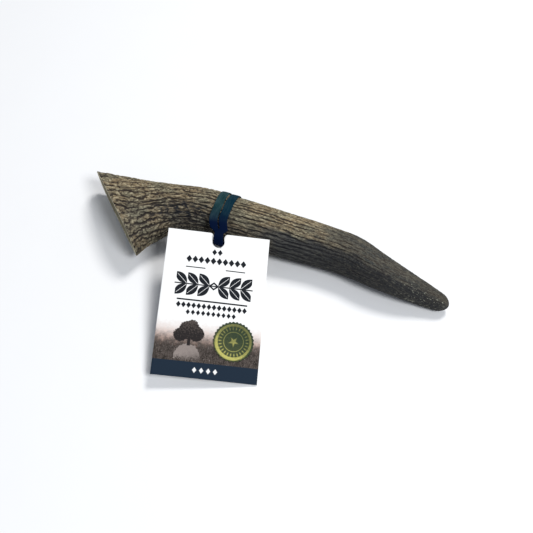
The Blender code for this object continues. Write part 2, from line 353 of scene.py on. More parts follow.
def antlerRings():
    # axis point + side * half width * cos^p + up * half height * sin^p; rings turn from the cut to square
    a = antlerShape
    start, end, rounding = a["x"][0], a["x"][-1], a["tipRounding"]
    turn = np.linspace(0.0, math.pi / 2, a["tipRings"] + 2)[1:-1]
    x = start + (end - rounding - start) * np.linspace(0, 1, a["rings"])**a["crowded"]
    x = np.concatenate([x, end - rounding * (1 - np.sin(turn))])
    y, z, halfWidth, halfHeight = axisAt(x)
    closing = np.sqrt(1 - (np.clip(x - end + rounding, 0, rounding) / rounding)**2)
    axis = np.stack([x, y, z], 1)
    forward = unit(np.gradient(axis, x, axis=0))

    flare = np.clip(1 - (x - start) / a["flareLength"], 0, 1)**1.5
    cutHeading, lean, roll = (math.radians(a[key]) for key in ("cutHeading", "cutLean", "cutRoll"))
    square = np.arctan2(forward[:, 1], forward[:, 0]) - math.pi / 2
    heading = square * (1 - flare) + cutHeading * flare
    side = unit(np.stack([np.cos(heading), np.sin(heading), math.sin(roll) * flare], 1))
    cutOut = np.array([math.cos(cutHeading - math.pi / 2), math.sin(cutHeading - math.pi / 2), 0.0])
    cutUp = math.sin(lean) * cutOut + np.array([0.0, 0.0, math.cos(lean)])
    beamUp = unit(np.cross(side, forward))
    beamUp *= np.sign(beamUp[:, 2:])
    up = beamUp * (1 - flare)[:, None] + cutUp * flare[:, None]
    up = unit(up - np.sum(up * side, 1, keepdims=True) * side)

    angle = fullTurn(a["traced"])
    endPower = np.where(np.sin(angle) > 0, *a["flarePowers"])
    power = 2 / (2 * (1 - flare)[:, None] + endPower * flare[:, None])
    across = (halfWidth * closing)[:, None] * signedPower(np.cos(angle), power)
    height = (halfHeight * closing)[:, None] * signedPower(np.sin(angle), power)
    rings = axis[:, None] + side[:, None] * across[..., None] + up[:, None] * height[..., None]
    return rings, axis, closing, np.array([end, *axisAt(end)[:2]])


def furrows(rings, grain, turn, girths):
    # height of the bark, 0 in a groove and 1 on a ridge. Noise sways a count of ridges round the antler, and
    # a groove lies where the count is whole; its distance is the sine of pi * count over that sine's slope.
    # Finer grooves and the cracks between beads lie where stretched noise passes zero.
    b = barkRelief
    along = grain[..., 0]
    acrossStep = np.linalg.norm(rings - np.roll(rings, 1, axis=1), axis=2)
    alongStep = np.gradient(along, axis=0)

    def noise(run, pitch, seed):
        return slopeNoise(grain / (run, pitch, pitch), seed)

    def rounded(signal, reach):
        acrossSlope = (signal - np.roll(signal, 1, axis=1)) / acrossStep
        slope = np.hypot(acrossSlope, np.gradient(signal, axis=0) / alongStep)
        near = np.clip(np.abs(signal) / np.maximum(slope, 0.05) / reach, 0, 1)
        return (near * (2 - near))**b["rounding"]

    lost, calmFrom, calmTo = b["calmed"]
    calm = 1 - lost * smoothStep(calmFrom, calmTo, along)
    count = b["ridges"] * turn / (2 * math.pi)
    for seed, (size, run) in enumerate(zip(b["sway"], b["swayRun"]), 3):
        count = count + size * calm * noise(*run, seed)
    pitch = girths[:, None] / b["ridges"]
    onTine = smoothStep(*b["tineFrom"], along)
    deep = b["shallow"] + (1 - b["shallow"]) * smoothStep(*b["deepFrom"], noise(*b["deepRun"], 9))
    deep = deep * (1 - 0.5 * onTine)
    main = rounded(np.sin(math.pi * count), pitch / 2)
    fine = rounded(noise(*b["fine"][0], 7), b["fine"][1])
    crack = rounded(noise(*b["bead"][0], 8), b["bead"][1])
    everywhere, nearCut, tine = b["beadDepth"]
    run, reach = b["beadRagged"]
    beaded = 1 - smoothStep(*b["beadFrom"], along + reach * noise(*run, 10))
    share = everywhere + nearCut * beaded + tine * onTine
    return (1 - deep * (1 - main)) * (1 - b["fineDepth"] * (1 - fine)) * (1 - share * (1 - crack))


def barkStainsAndShade(grain, lit, x):
    # stain, soot and painted shade of the bark. The stain below is partly real stain and partly painted shade
    # of the lower front; the front and low shades are painted shade. Each is a smooth step of how far the
    # bark faces up and back, with noise added so that its edge is ragged, times smooth steps along the
    # antler.
    s = barkStainAndShade

    def noise(run, pitch, seed):
        return slopeNoise(grain / (run, pitch, pitch), seed)

    ragged = noise(9.0, 4.0, 12) + 0.6 * noise(3.0, 1.2, 13)
    low, high, loose = s["under"]
    # the stain below: partly real stain and partly painted shade of the lower front
    stainAndShade = smoothStep(low, high, lit + loose * ragged) * smoothStep(*s["underX"], x + 8 * ragged)
    spots = smoothStep(-0.06, 0.10, noise(1.8, 0.9, 17) + 0.3 * ragged)
    middle, outer, inner = s["patch"]
    first, full, fading, gone = s["patchX"]
    between, added = s["patchDepth"]
    patch = smoothStep(outer, inner, np.abs(lit - middle + 0.25 * ragged)) * (between + added * spots)
    patch = patch * smoothStep(first, full, x + 8 * ragged) * smoothStep(gone, fading, x)
    soot = s["soot"] * patch * smoothStep(0.02, 0.14, noise(2.8, 1.1, 18))
    # painted shade: darker where the bark faces away from up and back, on the front and low down
    low, high, grey = s["paintedFrontShade"]
    paintedShade = grey * smoothStep(low, high, lit + 0.15 * ragged) * smoothStep(0.0, -20.0, x)
    low, high, grey = s["paintedLowShade"]
    paintedShade = paintedShade + grey * smoothStep(low, high, lit + 0.25 * ragged) * smoothStep(-50.0, -40.0, x)
    return np.maximum(np.maximum(stainAndShade, patch), paintedShade), soot


def sawnFace(cut, cutMiddle, forward):
    # the cut's ring drawn in to its middle; the core is sunk inside the dense rim, and pits are sunk in it
    s = sawnShape
    share = np.linspace(1, 0, s["rings"] + 1)[1:-1, None, None]
    face = cutMiddle + (cut - cutMiddle) * share
    inward = unit(np.cross(cut[s["aside"]] - cutMiddle, cut[0] - cutMiddle))
    inward *= np.sign(inward @ forward)
    fromEdge = np.linalg.norm(cut - cutMiddle, axis=1) * (1 - share[..., 0])
    size, waver = s["waver"]
    core = smoothStep(*s["rim"], fromEdge + waver * slopeNoise(face / size, 14))
    pits = 0.4 * smoothStep(*s["border"], cellBorders(face / s["cell"], 15))
    pits = pits + slopeNoise(face / s["grit"], 16)
    coreSunk, pitSunk = s["sunk"]
    face = face + inward * (core * (coreSunk + pitSunk * np.clip(pits, 0, 1)))[..., None]
    return face, cutMiddle + inward * s["middleSunk"], core, pits


def makeAntler():
    # the rings of the plain outline, each point moved outward by depth * (furrow height - level) + lumps
    # - the place that the band presses, and closed by the tip's point and the sawn face
    a, b = antlerShape, barkRelief
    tracedRings, axis, closing, tip = antlerRings()
    rings, girths = evenlyRound(tracedRings, a["around"])
    rows, columns = rings.shape[:2]
    grid = np.zeros((rows, columns))
    along = walkedAlong(axis)[:, None] + grid
    turn = fullTurn(columns)[None] + grid
    x = axis[:, :1] + grid
    radius = np.median(girths) / (2 * math.pi)
    grain = np.stack([along, np.cos(turn) * radius, np.sin(turn) * radius], -1)

    relief = furrows(rings, grain, turn, girths)
    depth = np.interp(x, b["x"], b["depth"])
    outward = unit(rings - axis[:, None])
    lump = slopeNoise(rings / b["lumpSize"], 13) - b["lumpLevel"]
    lumpDepth = np.interp(x, (a["x"][0], a["x"][-1]), b["lumpDepth"])
    middle, inner, outer, pressed = b["bandSeat"]
    seat = smoothStep(outer, inner, np.abs(x - middle)) * pressed
    move = (depth * (relief - b["level"]) + lump * lumpDepth - seat) * closing[:, None]
    bark = rings + outward * move[..., None]
    bark[..., 2] = np.maximum(bark[..., 2], b["lowest"])
    stainAndShade, soot = barkStainsAndShade(grain, outward @ unit(np.array(barkStainAndShade["facing"])), x)
    face, faceMiddle, core, pits = sawnFace(bark[0], axis[0], axis[5] - axis[0])

    tipVertex = rows * columns
    faceStart = tipVertex + 1
    faceRows = len(face)
    firstRing = np.arange(columns)
    lastRing = firstRing + (rows - 1) * columns
    faceRing = faceStart + firstRing
    innerRing = faceRing + (faceRows - 1) * columns
    barkFaces = [gridFaces(rows, columns), fanFaces(lastRing, tipVertex)]
    bridge = np.stack([faceRing, np.roll(faceRing, -1), np.roll(firstRing, -1), firstRing], -1)
    cutFaces = [bridge, gridFaces(faceRows, columns, faceStart),
                fanFaces(innerRing, faceStart + faceRows * columns)]

    def forAll(onBark, atTip, onFace, atMiddle):
        # one row for each vertex, in the order bark, tip, sawn face, its middle
        onBark, onFace = onBark.reshape(tipVertex, -1), onFace.reshape(faceRows * columns, -1)
        return np.concatenate([onBark, [atTip], onFace, [atMiddle]])

    points = forAll(bark, tip, face, faceMiddle)
    stored = {
        "relief": forAll(relief, [1], np.clip(1 - pits, 0, 1), [0]),
        "stainAndShade": forAll(stainAndShade, [0], 0 * core, [0]),
        "soot": forAll(soot, [0], 0 * core, [0]),
        "core": forAll(0 * relief, [0], core, [1]),
        "reach": forAll(x, [a["x"][-1]], 0 * core + a["x"][0], [a["x"][0]]),
        "grain": forAll(grain, [along[-1, 0] + 1, 0, 0], face, axis[0]),
    }
    finishes = [barkFinish(), sawnFinish()]
    piece = makePiece("antlerBark", points + a["foot"], barkFaces + cutFaces, stored, finishes)
    mesh = piece.data
    sawn = np.arange(len(mesh.polygons)) >= sum(len(part) for part in barkFaces)
    mesh.polygons.foreach_set("material_index", sawn.astype(np.int32))
    ends = np.empty(len(mesh.edges) * 2, np.int32)
    mesh.edges.foreach_get("vertices", ends)
    onRim = (ends.reshape(-1, 2) < columns).all(1)
    mesh.attributes.new("sharp_edge", "BOOLEAN", "EDGE").data.foreach_set("value", onRim)
    standFor(piece, "antler")


barkLook = {
    "tan": (0.212, 0.157, 0.086),
    "olive": (0.150, 0.136, 0.088),
    "pale": (0.450, 0.400, 0.272),
    # the dark that grooves and pits hold: partly dirt, partly painted shade of the hollows
    "hollowDirtAndShade": (0.022, 0.015, 0.010),
    # the near-black of stain, soot and painted shade, and the ridges that show under them
    "stainAndShade": (0.006, 0.007, 0.010),
    "stainAndShadeRidge": (0.050, 0.052, 0.050),
    "tine": (0.025, 0.030, 0.030),
    "tineBrown": (0.068, 0.062, 0.048),
    "hornPale": (0.118, 0.110, 0.084),
    "nick": (0.38, 0.38, 0.30),
    "tineFrom": (2.0, 40.0),  # places along the antler over which bark gives way to the tine's horn
    "nicksFrom": (48.0, 62.0),
    "patchGrain": (0.09, 0.22, 0.22),  # each grain is how many swells there are to a millimetre
    "fibreGrain": (0.5, 2.2, 2.2),
    "gritGrain": (1.1, 1.5, 1.5),
    "blotchGrain": (0.20, 0.5, 0.5),
    "nickGrain": (0.9, 1.7, 1.7),
    "oliveFrom": (0.4, 0.62),
    "paleFrom": (0.49, 0.61),
    "ridgeFrom": (0.38, 1.02),
    "stainAndShadeRidgeFrom": (0.55, 1.1),
    "stainedAndShaded": 0.96,          # how far stain, painted shade and soot hide the bark under them
    "sooted": 0.95,
    "brownFrom": (0.42, 0.58),
    "fleckFrom": (0.50, 0.62),
    "nickOver": (0.62, 0.70),
}


def barkFinish():
    # bark: dark furrows of dirt and painted groove shade, tan to grey ridges, pale where worn, darkened by
    # stain, soot and painted shade of the front and low side; tine: charcoal with brown blotches, paler
    # flecks and dark pits of dirt and painted shade, and pale nicks near the tip, darkened below by the same
    # stain and painted shade
    look = barkLook
    f = Finish("furrowed bark")
    relief, stainAndShade, reach = (f.stored(name) for name in ("relief", "stainAndShade", "reach"))
    grain = f.stored("grain", "Vector")
    patches = f.noise(grain, look["patchGrain"], 4.0, 0.55)
    fibres = f.noise(grain, look["fibreGrain"], 5.0, 0.7)
    grit = f.noise(grain, look["gritGrain"], 4.0, 0.7)

    ridge = f.mix(patches.step(*look["oliveFrom"]), look["tan"], look["olive"])
    ridge = f.mix((fibres * 0.6 + grit * 0.4).step(*look["paleFrom"]) * 0.8, ridge, look["pale"])
    worn = relief + (fibres - 0.5) * 1.1 + (grit - 0.5) * 0.5
    bark = f.mix(worn.step(*look["ridgeFrom"]), look["hollowDirtAndShade"], ridge)
    # bark under stain and painted shade: near-black between ridges that stay a little lighter
    dark = f.mix(worn.step(*look["stainAndShadeRidgeFrom"]), look["stainAndShade"], look["stainAndShadeRidge"])
    bark = f.mix(stainAndShade * look["stainedAndShaded"], bark, dark)
    bark = f.mix(f.stored("soot") * look["sooted"], bark, look["stainAndShade"])

    blotch = f.noise(grain, look["blotchGrain"], 4.0, 0.65)
    horn = f.mix((blotch * 0.6 + fibres * 0.4).step(*look["brownFrom"]), look["tine"], look["tineBrown"])
    fleck = grit.step(*look["fleckFrom"])
    horn = f.mix(fleck * 0.55, horn, look["hornPale"])
    pitted = relief + (fibres - 0.5) * 1.6 + (grit - 0.5) * 2.4
    # pits darkened with dirt and painted shade
    horn = f.mix(pitted.step(0.1, 0.9), look["hollowDirtAndShade"], horn)
    # the tine darkens under the stain and painted shade of its lower front, less on pale flecks
    horn = f.mix(stainAndShade * (0.78 - 0.4 * fleck), horn, look["stainAndShade"])
    nicks = f.noise(grain, look["nickGrain"], 2.0).step(*look["nickOver"])
    nicks = nicks * reach.step(*look["nicksFrom"])
    horn = f.mix(nicks * stainAndShade.step(0.0, 0.2) * 0.9, horn, look["nick"])

    tine = (reach + (patches - 0.5) * 26).step(*look["tineFrom"])
    return f.surface(f.mix(tine, bark, horn), 0.62 + 0.25 * grit, 0.3, (fibres * 0.5 + grit * 0.5, 0.4, 0.8))


cutLook = {
    "rim": (0.62, 0.58, 0.41),
    "rimDark": (0.33, 0.28, 0.19),
    "core": (0.165, 0.145, 0.085),
    "pore": (0.036, 0.027, 0.015),
    "sawStrokes": (500.0, 500.0, 3600.0),  # swells to a metre: the strokes lie level
}


def sawnFinish():
    # dense cream rim, brown porous core, and the saw's fine parallel strokes
    look = cutLook
    f = Finish("sawn face")
    core, relief = f.stored("core"), f.stored("relief")
    place = f.place()
    blotch = f.noise(place, 260.0, 4.0, 0.6)
    strokes = f.noise(place, look["sawStrokes"], 2.0)
    dense = f.mix(blotch.step(0.35, 0.7), look["rim"], look["rimDark"])
    spongy = f.mix((relief + (blotch - 0.5) * 0.8).step(0.15, 0.85), look["pore"], look["core"])
    color = f.mix(core, dense, spongy)
    color = f.mix(strokes.step(0.5, 0.7) * 0.2, color, look["rimDark"])
    return f.surface(color, 0.7 + 0.2 * blotch, 0.3, (strokes + blotch, 0.12, 0.6))


# The tag's plane: u runs across it and v up it from its lower left corner.
tagShape = {
    "width": 39.9,
    "height": 58.1,
    "thickness": 0.4,
    "foot": (-5.9, -57.5),  # middle of the lower edge
    "heading": -13.0,
    "tilt": 15.4,
    "roll": 8.0,
    "footClearance": 0.2,
    "holeU": 19.95,
    "holeDrop": 3.5,        # the hole's middle under the upper edge
    "holeRadius": 2.35,
    "slotHalf": 2.1,
    "lipRadius": 1.5,
    "bow": 0.3,             # the card's middle stands this much out of its plane
    "bowTo": (38.0, 54.0),  # heights over which the bow dies out
    "pressedEdge": 0.07,
    "rows": (54, 16, 9),    # below the hole, round it and up the lips
    "columns": 19,          # on each side of the notch
    "roundHole": 0.62,      # half turns of the hole that rows follow
}


def tagAxes():
    # lower left corner, and the directions across, up and out of the card
    t = tagShape
    heading, tilt, roll = (math.radians(t[key]) for key in ("heading", "tilt", "roll"))
    level = np.array([math.cos(heading), -math.sin(heading), 0.0])
    away = np.array([math.sin(heading), math.cos(heading), 0.0])
    upward = away * math.cos(tilt) + np.array([0.0, 0.0, math.sin(tilt)])
    across = level * math.cos(roll) - np.cross(level, upward) * math.sin(roll)
    outward = np.cross(across, upward)
    corner = np.array([*t["foot"], 0.0]) - across * t["width"] / 2
    corner[2] += t["footClearance"] - (corner + across * t["width"] - outward * t["thickness"] / 2)[2]
    return corner, across, upward, outward


def onTag(u, v, out):
    # corner + u * across + v * upward + (out + bow) * outward; the bow is a parabola across the card
    t = tagShape
    corner, across, upward, outward = tagAxes()
    bow = t["bow"] * (1 - (2 * u / t["width"] - 1)**2) * (1 - smoothStep(*t["bowTo"], v))
    plan = corner + u[..., None] * across + v[..., None] * upward
    return plan + (out + bow)[..., None] * outward + np.array(antlerShape["foot"])


def notchHalfWidth(v):
    # 0 below the hole, then the hole's arc, the slot and the rounded lips
    t = tagShape
    rise = v - (t["height"] - t["holeDrop"])
    hole = np.sqrt(np.clip(t["holeRadius"]**2 - rise**2, 0, None))
    intoLip = np.clip(v - (t["height"] - t["lipRadius"]), 0, t["lipRadius"])
    slot = t["slotHalf"] + t["lipRadius"] - np.sqrt(t["lipRadius"]**2 - intoLip**2)
    return np.where(rise > 0, np.maximum(hole, slot), hole)


def makeTag():
    # rows up the card; each row runs from the left edge to the notch and from the notch to the right edge
    t = tagShape
    holeFoot = t["height"] - t["holeDrop"] - t["holeRadius"]
    lipFoot = t["height"] - t["lipRadius"]
    below, roundHole, upLips = t["rows"]
    holeTurn = np.linspace(0, t["roundHole"] * math.pi, roundHole)[1:]
    v = np.concatenate([
        np.linspace(0, holeFoot, below),
        holeFoot + t["holeRadius"] * (1 - np.cos(holeTurn)),
        lipFoot + t["lipRadius"] * np.sin(np.linspace(0, math.pi / 2, upLips)),
    ])
    share = np.linspace(0, 1, t["columns"])
    gap = notchHalfWidth(v)[:, None]
    left, right = t["holeU"] - gap, t["holeU"] + gap
    u = np.concatenate([left * share, right + (t["width"] - right) * share], 1)
    v = v[:, None] + 0 * u
    rows, columns = u.shape
    faces = gridFaces(rows, columns, closedColumns=False)
    half = columns // 2
    faces = faces[faces[:, 0] % columns != half - 1]
    points = onTag(u, v, 0 * u).reshape(-1, 3)
    finishes = [printFinish(), cardFinish("card back"), cardFinish("card edge")]
    piece = makePiece("cardTag", points, [faces], {}, finishes)
    mesh = piece.data
    layer = mesh.uv_layers.new(name="card")
    corners = np.empty(len(mesh.loops), np.int32)
    mesh.loops.foreach_get("vertex_index", corners)
    flat = np.stack([u.ravel() / t["width"], v.ravel() / t["height"]], 1)[corners]
    layer.data.foreach_set("uv", flat.astype(np.float32).ravel())
    bm = bmesh.new()
    bm.from_mesh(mesh)
    bmesh.ops.remove_doubles(bm, verts=bm.verts, dist=0.001 * mm)
    outward = Vector(tagAxes()[3])
    if sum(face.normal.dot(outward) for face in bm.faces) < 0:
        bmesh.ops.reverse_faces(bm, faces=bm.faces)
    bm.to_mesh(mesh)
    bm.free()
    thick = piece.modifiers.new("thickness", "SOLIDIFY")
    thick.thickness = t["thickness"] * mm
    thick.offset = 0.0
    thick.material_offset = 1
    thick.material_offset_rim = 2
    edge = piece.modifiers.new("pressed edge", "BEVEL")
    edge.width = t["pressedEdge"] * mm
    edge.segments = 2
    edge.limit_method = "ANGLE"
    edge.angle_limit = math.radians(50)
    standFor(piece, "tag")


printLook = {
    "card": (0.80, 0.80, 0.79),
    "navy": (0.0115, 0.0215, 0.0370),
    "ink": (0.010, 0.012, 0.016),
    "barTop": 6.1,
    "pictureTop": (19.5, 27.5),     # the picture fades out between these heights
    "haze": (0.52, 0.37, 0.31),
    "grassTop": 15.8,
    "grass": ((0.018, 0.015, 0.013), (0.085, 0.069, 0.061), (0.34, 0.30, 0.28)),
    "crown": ((12.2, 18.0, 3.6), (15.4, 16.9, 2.9), (9.4, 16.2, 2.6), (13.4, 19.6, 2.6)),
    "trunk": (12.8, 0.5),           # middle and half width
    "rock": (12.6, 7.6, 5.0, 5.2),  # middle and half sizes
    "stone": ((0.27, 0.23, 0.21), (0.075, 0.062, 0.056)),
    "leaf": (0.020, 0.017, 0.017),
    "stem": 36.3,                   # height of the leaf frieze's stem
    "stemReach": 15.0,
    "leafFrom": 1.6,
    "leafPitch": 4.35,
    "leafLength": 6.6,
    "leafHalfWidth": 1.75,
    "leafLean": 44.0,
    "leafPairs": 3,
    "partedRule": (43.2, 11.5, 0.2),   # height, half length and half thickness
    "parting": 4.0,
    "rule": (30.0, 13.5, 0.3),
    "lozenges": ((50.2, 2.2, 1, 0.95), (46.5, 2.35, 5, 1.1),     # height, pitch, number each side, half size
                 (27.9, 1.95, 7, 0.9), (25.2, 1.95, 5, 0.8)),
    "barLozenges": (3.2, 2.6, 2, 0.8),
}


def leafFrieze(u, v):
    # a level stem with leaves above and below it that lean away from the middle. In a leaf's own directions
    # its edge is the parabola 4 * half width * share * (1 - share).
    look = printLook
    side = abs(u - tagShape["holeU"])
    rise = abs(v - look["stem"])
    cell = (side - look["leafFrom"]) % look["leafPitch"]
    lean = math.radians(look["leafLean"])
    down = cell * math.cos(lean) + rise * math.sin(lean)
    off = abs(rise * math.cos(lean) - cell * math.sin(lean))
    share = down / look["leafLength"]
    leaf = (4 * look["leafHalfWidth"] * share * (1 - share) - off).step(0.0, 0.12)
    vein = off.step(0.1, 0.04) * share.step(0.85, 0.8)
    first = look["leafFrom"]
    last = first + look["leafPairs"] * look["leafPitch"]
    leaf = leaf * (1 - vein) * side.step(first, first + 0.05) * side.step(last + 0.05, last)
    stem = rise.step(0.3, 0.2) * side.step(look["stemReach"] + 0.2, look["stemReach"])
    bud = side * 0.8 + rise
    return leaf.most(stem).most(bud.step(1.75, 1.6) * (1 - bud.step(0.95, 0.8)))


def rule(u, v, height, reach, thick):
    # a level line: 1 where |v - height| < thick and |u - middle| < reach
    line = abs(v - height).step(thick + 0.05, thick - 0.03)
    return line * abs(u - tagShape["holeU"]).step(reach + 0.1, reach)


def lozenges(u, v, height, pitch, count, size):
    # a level row of them, count each side of the middle: 1 where |across| + 0.75 |up| < size in each cell
    side = abs(u - tagShape["holeU"])
    cell = abs(side % pitch - pitch / 2)
    row = (cell + abs(v - height) * 0.75).step(size + 0.08, size - 0.04)
    return row * side.step(count * pitch + 0.02, count * pitch)


def meadow(f, flat, u, v):
    # haze that clears upward, grass of dark and light strokes, and a pale rock lit from the upper left, all
    # fading to card; over them a lone tree of round clumps with ragged edges
    look = printLook
    clumps = f.noise(flat, 0.55, 4.0, 0.62)
    leaves = f.noise(flat, 1.6, 3.0, 0.7)
    strokes = f.noise(flat, (3.0, 1.25, 1.0), 4.0, 0.72, 1.4)
    dark, middle, light = look["grass"]
    grass = f.mix((strokes * 0.7 + clumps * 0.3).step(0.40, 0.58), dark, middle)
    grass = f.mix(strokes.step(0.60, 0.72), grass, light)
    haze = f.mix((v + (clumps - 0.5) * 6).step(12.0, 24.0), look["haze"], look["card"])
    skyline = look["grassTop"] + (clumps - 0.5) * 9 + (strokes - 0.5) * 6
    picture = f.mix((skyline - v).step(-3.0, 4.0), haze, grass)
    ragged = (leaves - 0.5) * 1.6 + (clumps - 0.5) * 1.4
    middleU, middleV, halfU, halfV = look["rock"]
    rock = (((u - middleU) / halfU)**2 + ((v - middleV) / halfV)**2)**0.5 + ragged * 0.16
    lit = ((u - middleU) * -0.5 + (v - middleV) + (clumps - 0.5) * 6).step(-4.5, 3.0)
    stone = f.mix(lit * 0.7 + (strokes - 0.35) * 0.9, look["stone"][1], look["stone"][0])
    clear = rock.step(1.03, 0.97) * (v + (strokes - 0.5) * 9).step(6.4, 8.4)
    picture = f.mix(clear, picture, stone)
    trunk, half = look["trunk"]
    tree = abs(u - trunk).step(half + 0.2, half) * v.step(18.0, 17.0)
    tree = tree * v.step(12.0, 12.4)
    for across, up, reach in look["crown"]:
        away = ((u - across)**2 + (v - up)**2)**0.5 + ragged
        tree = tree.most(away.step(reach + 0.2, reach - 0.1))
    foliage = f.mix((leaves * 0.6 + (v - 14) * 0.02).step(0.34, 0.52), look["leaf"], middle)
    picture = f.mix((v + (clumps - 0.5) * 4).step(*look["pictureTop"]), picture, look["card"])
    return f.mix(tree, picture, foliage)


def printFinish():
    # the picture, the bar over its foot, then every mark in ink: the most of all the marks' masks
    look = printLook
    f = Finish("printed card")
    sheet = f.node("UVMap", {"uv_map": "card"})
    across, up, _ = f.parts(sheet)
    u, v = across * tagShape["width"], up * tagShape["height"]
    flat = f.times(sheet, (tagShape["width"], tagShape["height"], 1.0))
    color = f.mix(v.step(look["barTop"] + 0.06, look["barTop"] - 0.06), meadow(f, flat, u, v), look["navy"])
    parting = abs(u - tagShape["holeU"]).step(look["parting"] - 0.1, look["parting"])
    marks = leafFrieze(u, v).most(rule(u, v, *look["partedRule"]) * parting).most(rule(u, v, *look["rule"]))
    for row in look["lozenges"]:
        marks = marks.most(lozenges(u, v, *row))
    color = f.mix(marks, color, look["ink"])
    color = f.mix(lozenges(u, v, *look["barLozenges"]) * 0.9, color, look["card"])
    fibre = f.noise(flat, 7.0, 4.0, 0.6)
    return f.surface(color, 0.6 + 0.12 * fibre, 0.06, (fibre, 0.02, 0.6))


cardLook = {  # two tones each
    "card back": ((0.78, 0.78, 0.7644), (0.7254, 0.7176, 0.6942)),
    "card edge": ((0.70, 0.70, 0.6860), (0.6510, 0.6440, 0.6230)),
}


def cardFinish(name):
    # uncoated white board: two tones faintly mottled together, and felt-like roughness
    f = Finish(name)
    place = f.place()
    mottle = f.noise(place, 900.0, 4.0, 0.6)
    cloud = f.noise(place, 90.0, 2.0)
    color = f.mix(mottle * 0.5 + cloud * 0.5, *cardLook[name])
    return f.surface(color, 0.7 + 0.2 * mottle, 0.3, (mottle, 0.03, 0.5))


# The seal: embossed foil on a polar grid, lying just clear of the card.
sealShape = {
    "u": 29.6,
    "v": 15.4,
    "radius": 7.85,
    "tooth": 0.45,
    "teeth": 34,
    "out": 0.26,                # underside of the foil over the card's middle plane
    "foil": 0.10,
    "dish": 0.28,               # how much higher its edge curls than its middle
    "rim": (6.45, 0.40, 0.12),  # radius, half width and height of the raised ring
    "innerRing": (3.75, 0.22, 0.05),
    "petals": 26,
    "petalRing": (5.1, 0.75, 0.06),
    "starRadius": 3.0,
    "starWaist": 0.42,
    "starHeight": 0.10,
    "steps": 60,
    "around": 340,
}


def sealHeight(r, turn):
    # rings as rounded ridges, petals as cosines round a ring, and a five-pointed star with flat facets
    s = sealShape

    def ridge(radius, half, height):
        return height * np.exp(-((r - radius) / half)**2)

    petals = ridge(*s["petalRing"]) * (0.5 + 0.5 * np.cos(s["petals"] * turn))**1.5
    fold = np.abs((turn + math.pi / 10) % (2 * math.pi / 5) - math.pi / 5)
    waist = s["starRadius"] * s["starWaist"]
    tipX, tipY = s["starRadius"] * math.cos(math.pi / 5), s["starRadius"] * math.sin(math.pi / 5)
    px, py = r * np.cos(fold), r * np.sin(fold)
    reach = (px - waist) * tipY - py * (tipX - waist)
    facet = np.clip(-reach / (waist * tipY), 0, 1)
    return ridge(*s["rim"]) + ridge(*s["innerRing"]) + petals + s["starHeight"] * facet


def makeSeal():
    # rings at even shares of a saw-toothed edge, each point as high as the foil, its relief and the dish
    s = sealShape
    turn = fullTurn(s["around"])
    saw = np.abs((turn * s["teeth"] / (2 * math.pi)) % 1 - 0.5) * 2
    edge = s["radius"] - s["tooth"] * (1 - saw)
    share = np.linspace(1, 0, s["steps"] + 1)[:-1, None]
    r = edge * share
    relief = sealHeight(r, turn[None])
    height = s["foil"] + relief + s["dish"] * (r / s["radius"])**4
    u, v = s["u"] + r * np.cos(turn), s["v"] + r * np.sin(turn)
    u, v = np.concatenate([u[:1], u]), np.concatenate([v[:1], v])      # the first ring is the underside's
    lift = np.concatenate([0 * turn[None], height])
    rows, columns = u.shape
    middle = np.full(2, s["u"]), np.full(2, s["v"])
    middleLift = np.array([s["foil"] + sealHeight(np.zeros(1), np.zeros(1))[0], 0])
    points = onTag(u, v, s["out"] + lift).reshape(-1, 3)
    points = np.concatenate([points, onTag(*middle, s["out"] + middleLift)])
    count = rows * columns
    faces = [gridFaces(rows, columns), fanFaces(np.arange(columns) + count - columns, count),
             fanFaces(np.arange(columns), count + 1)]
    flat = np.stack([u - s["u"], v - s["v"], lift], -1).reshape(-1, 3)
    flat = np.concatenate([flat, [[0, 0, s["foil"]], [0, 0, 0]]])
    raised = np.concatenate([0 * turn, relief.ravel() / s["rim"][2], [1, 0]])
    piece = makePiece("foilSeal", points, faces, {"raised": raised, "foilPlace": flat}, [foilFinish()])
    piece.data.set_sharp_from_angle(angle=math.radians(55))
    standFor(piece, "seal")


foilLook = {
    # green and olive are tones of the painted reflection; gold is the raised work's gold and its painted
    # highlight
    "green": (0.030, 0.048, 0.024),
    "olive": (0.072, 0.082, 0.034),
    "gold": (0.50, 0.47, 0.13),
    "shadow": (0.012, 0.020, 0.012),
}


def foilFinish():
    # satin foil with its reflection painted in: dark green to the upper right and olive to the lower left;
    # gold on raised work and on the rim, as painted highlight that grows toward the lower left; dark flecks
    look = foilLook
    f = Finish("gold foil")
    place = f.stored("foilPlace", "Vector")
    x, y, _ = f.parts(place)
    crease = f.noise(place, 1.1, 3.0, 0.6)
    fine = f.noise(place, 7.0, 2.0)
    r = (x**2 + y**2)**0.5
    # painted reflection: 0 at the dark upper right, 1 at the bright lower left
    low = (y * -0.8 - x * 0.45 + (crease - 0.5) * 6).step(-5.0, 8.5)
    color = f.mix(low * 0.8 + (crease - 0.5) * 0.8, look["green"], look["olive"])
    raised = f.stored("raised") + (fine - 0.5) * 0.3
    # gold on the raised work, brighter toward the lower left as painted highlight
    color = f.mix(raised.step(0.12, 0.5) * (0.30 + 0.65 * low), color, look["gold"])
    # a painted highlight on the lower left of the rim
    rim = r.step(6.3, 6.6) * r.step(7.3, 7.1) * low.step(0.35, 0.9)
    color = f.mix(rim * 0.8, color, look["gold"])
    # dark flecks at random, more of them on the darker upper right of the painted reflection
    color = f.mix(fine.step(0.48, 0.60) * (0.75 - 0.45 * low), color, look["shadow"])
    return f.surface(color, 0.5 + 0.12 * crease, 0.1, (crease * 0.6 + fine * 0.4, 0.03, 0.5), 0.1)


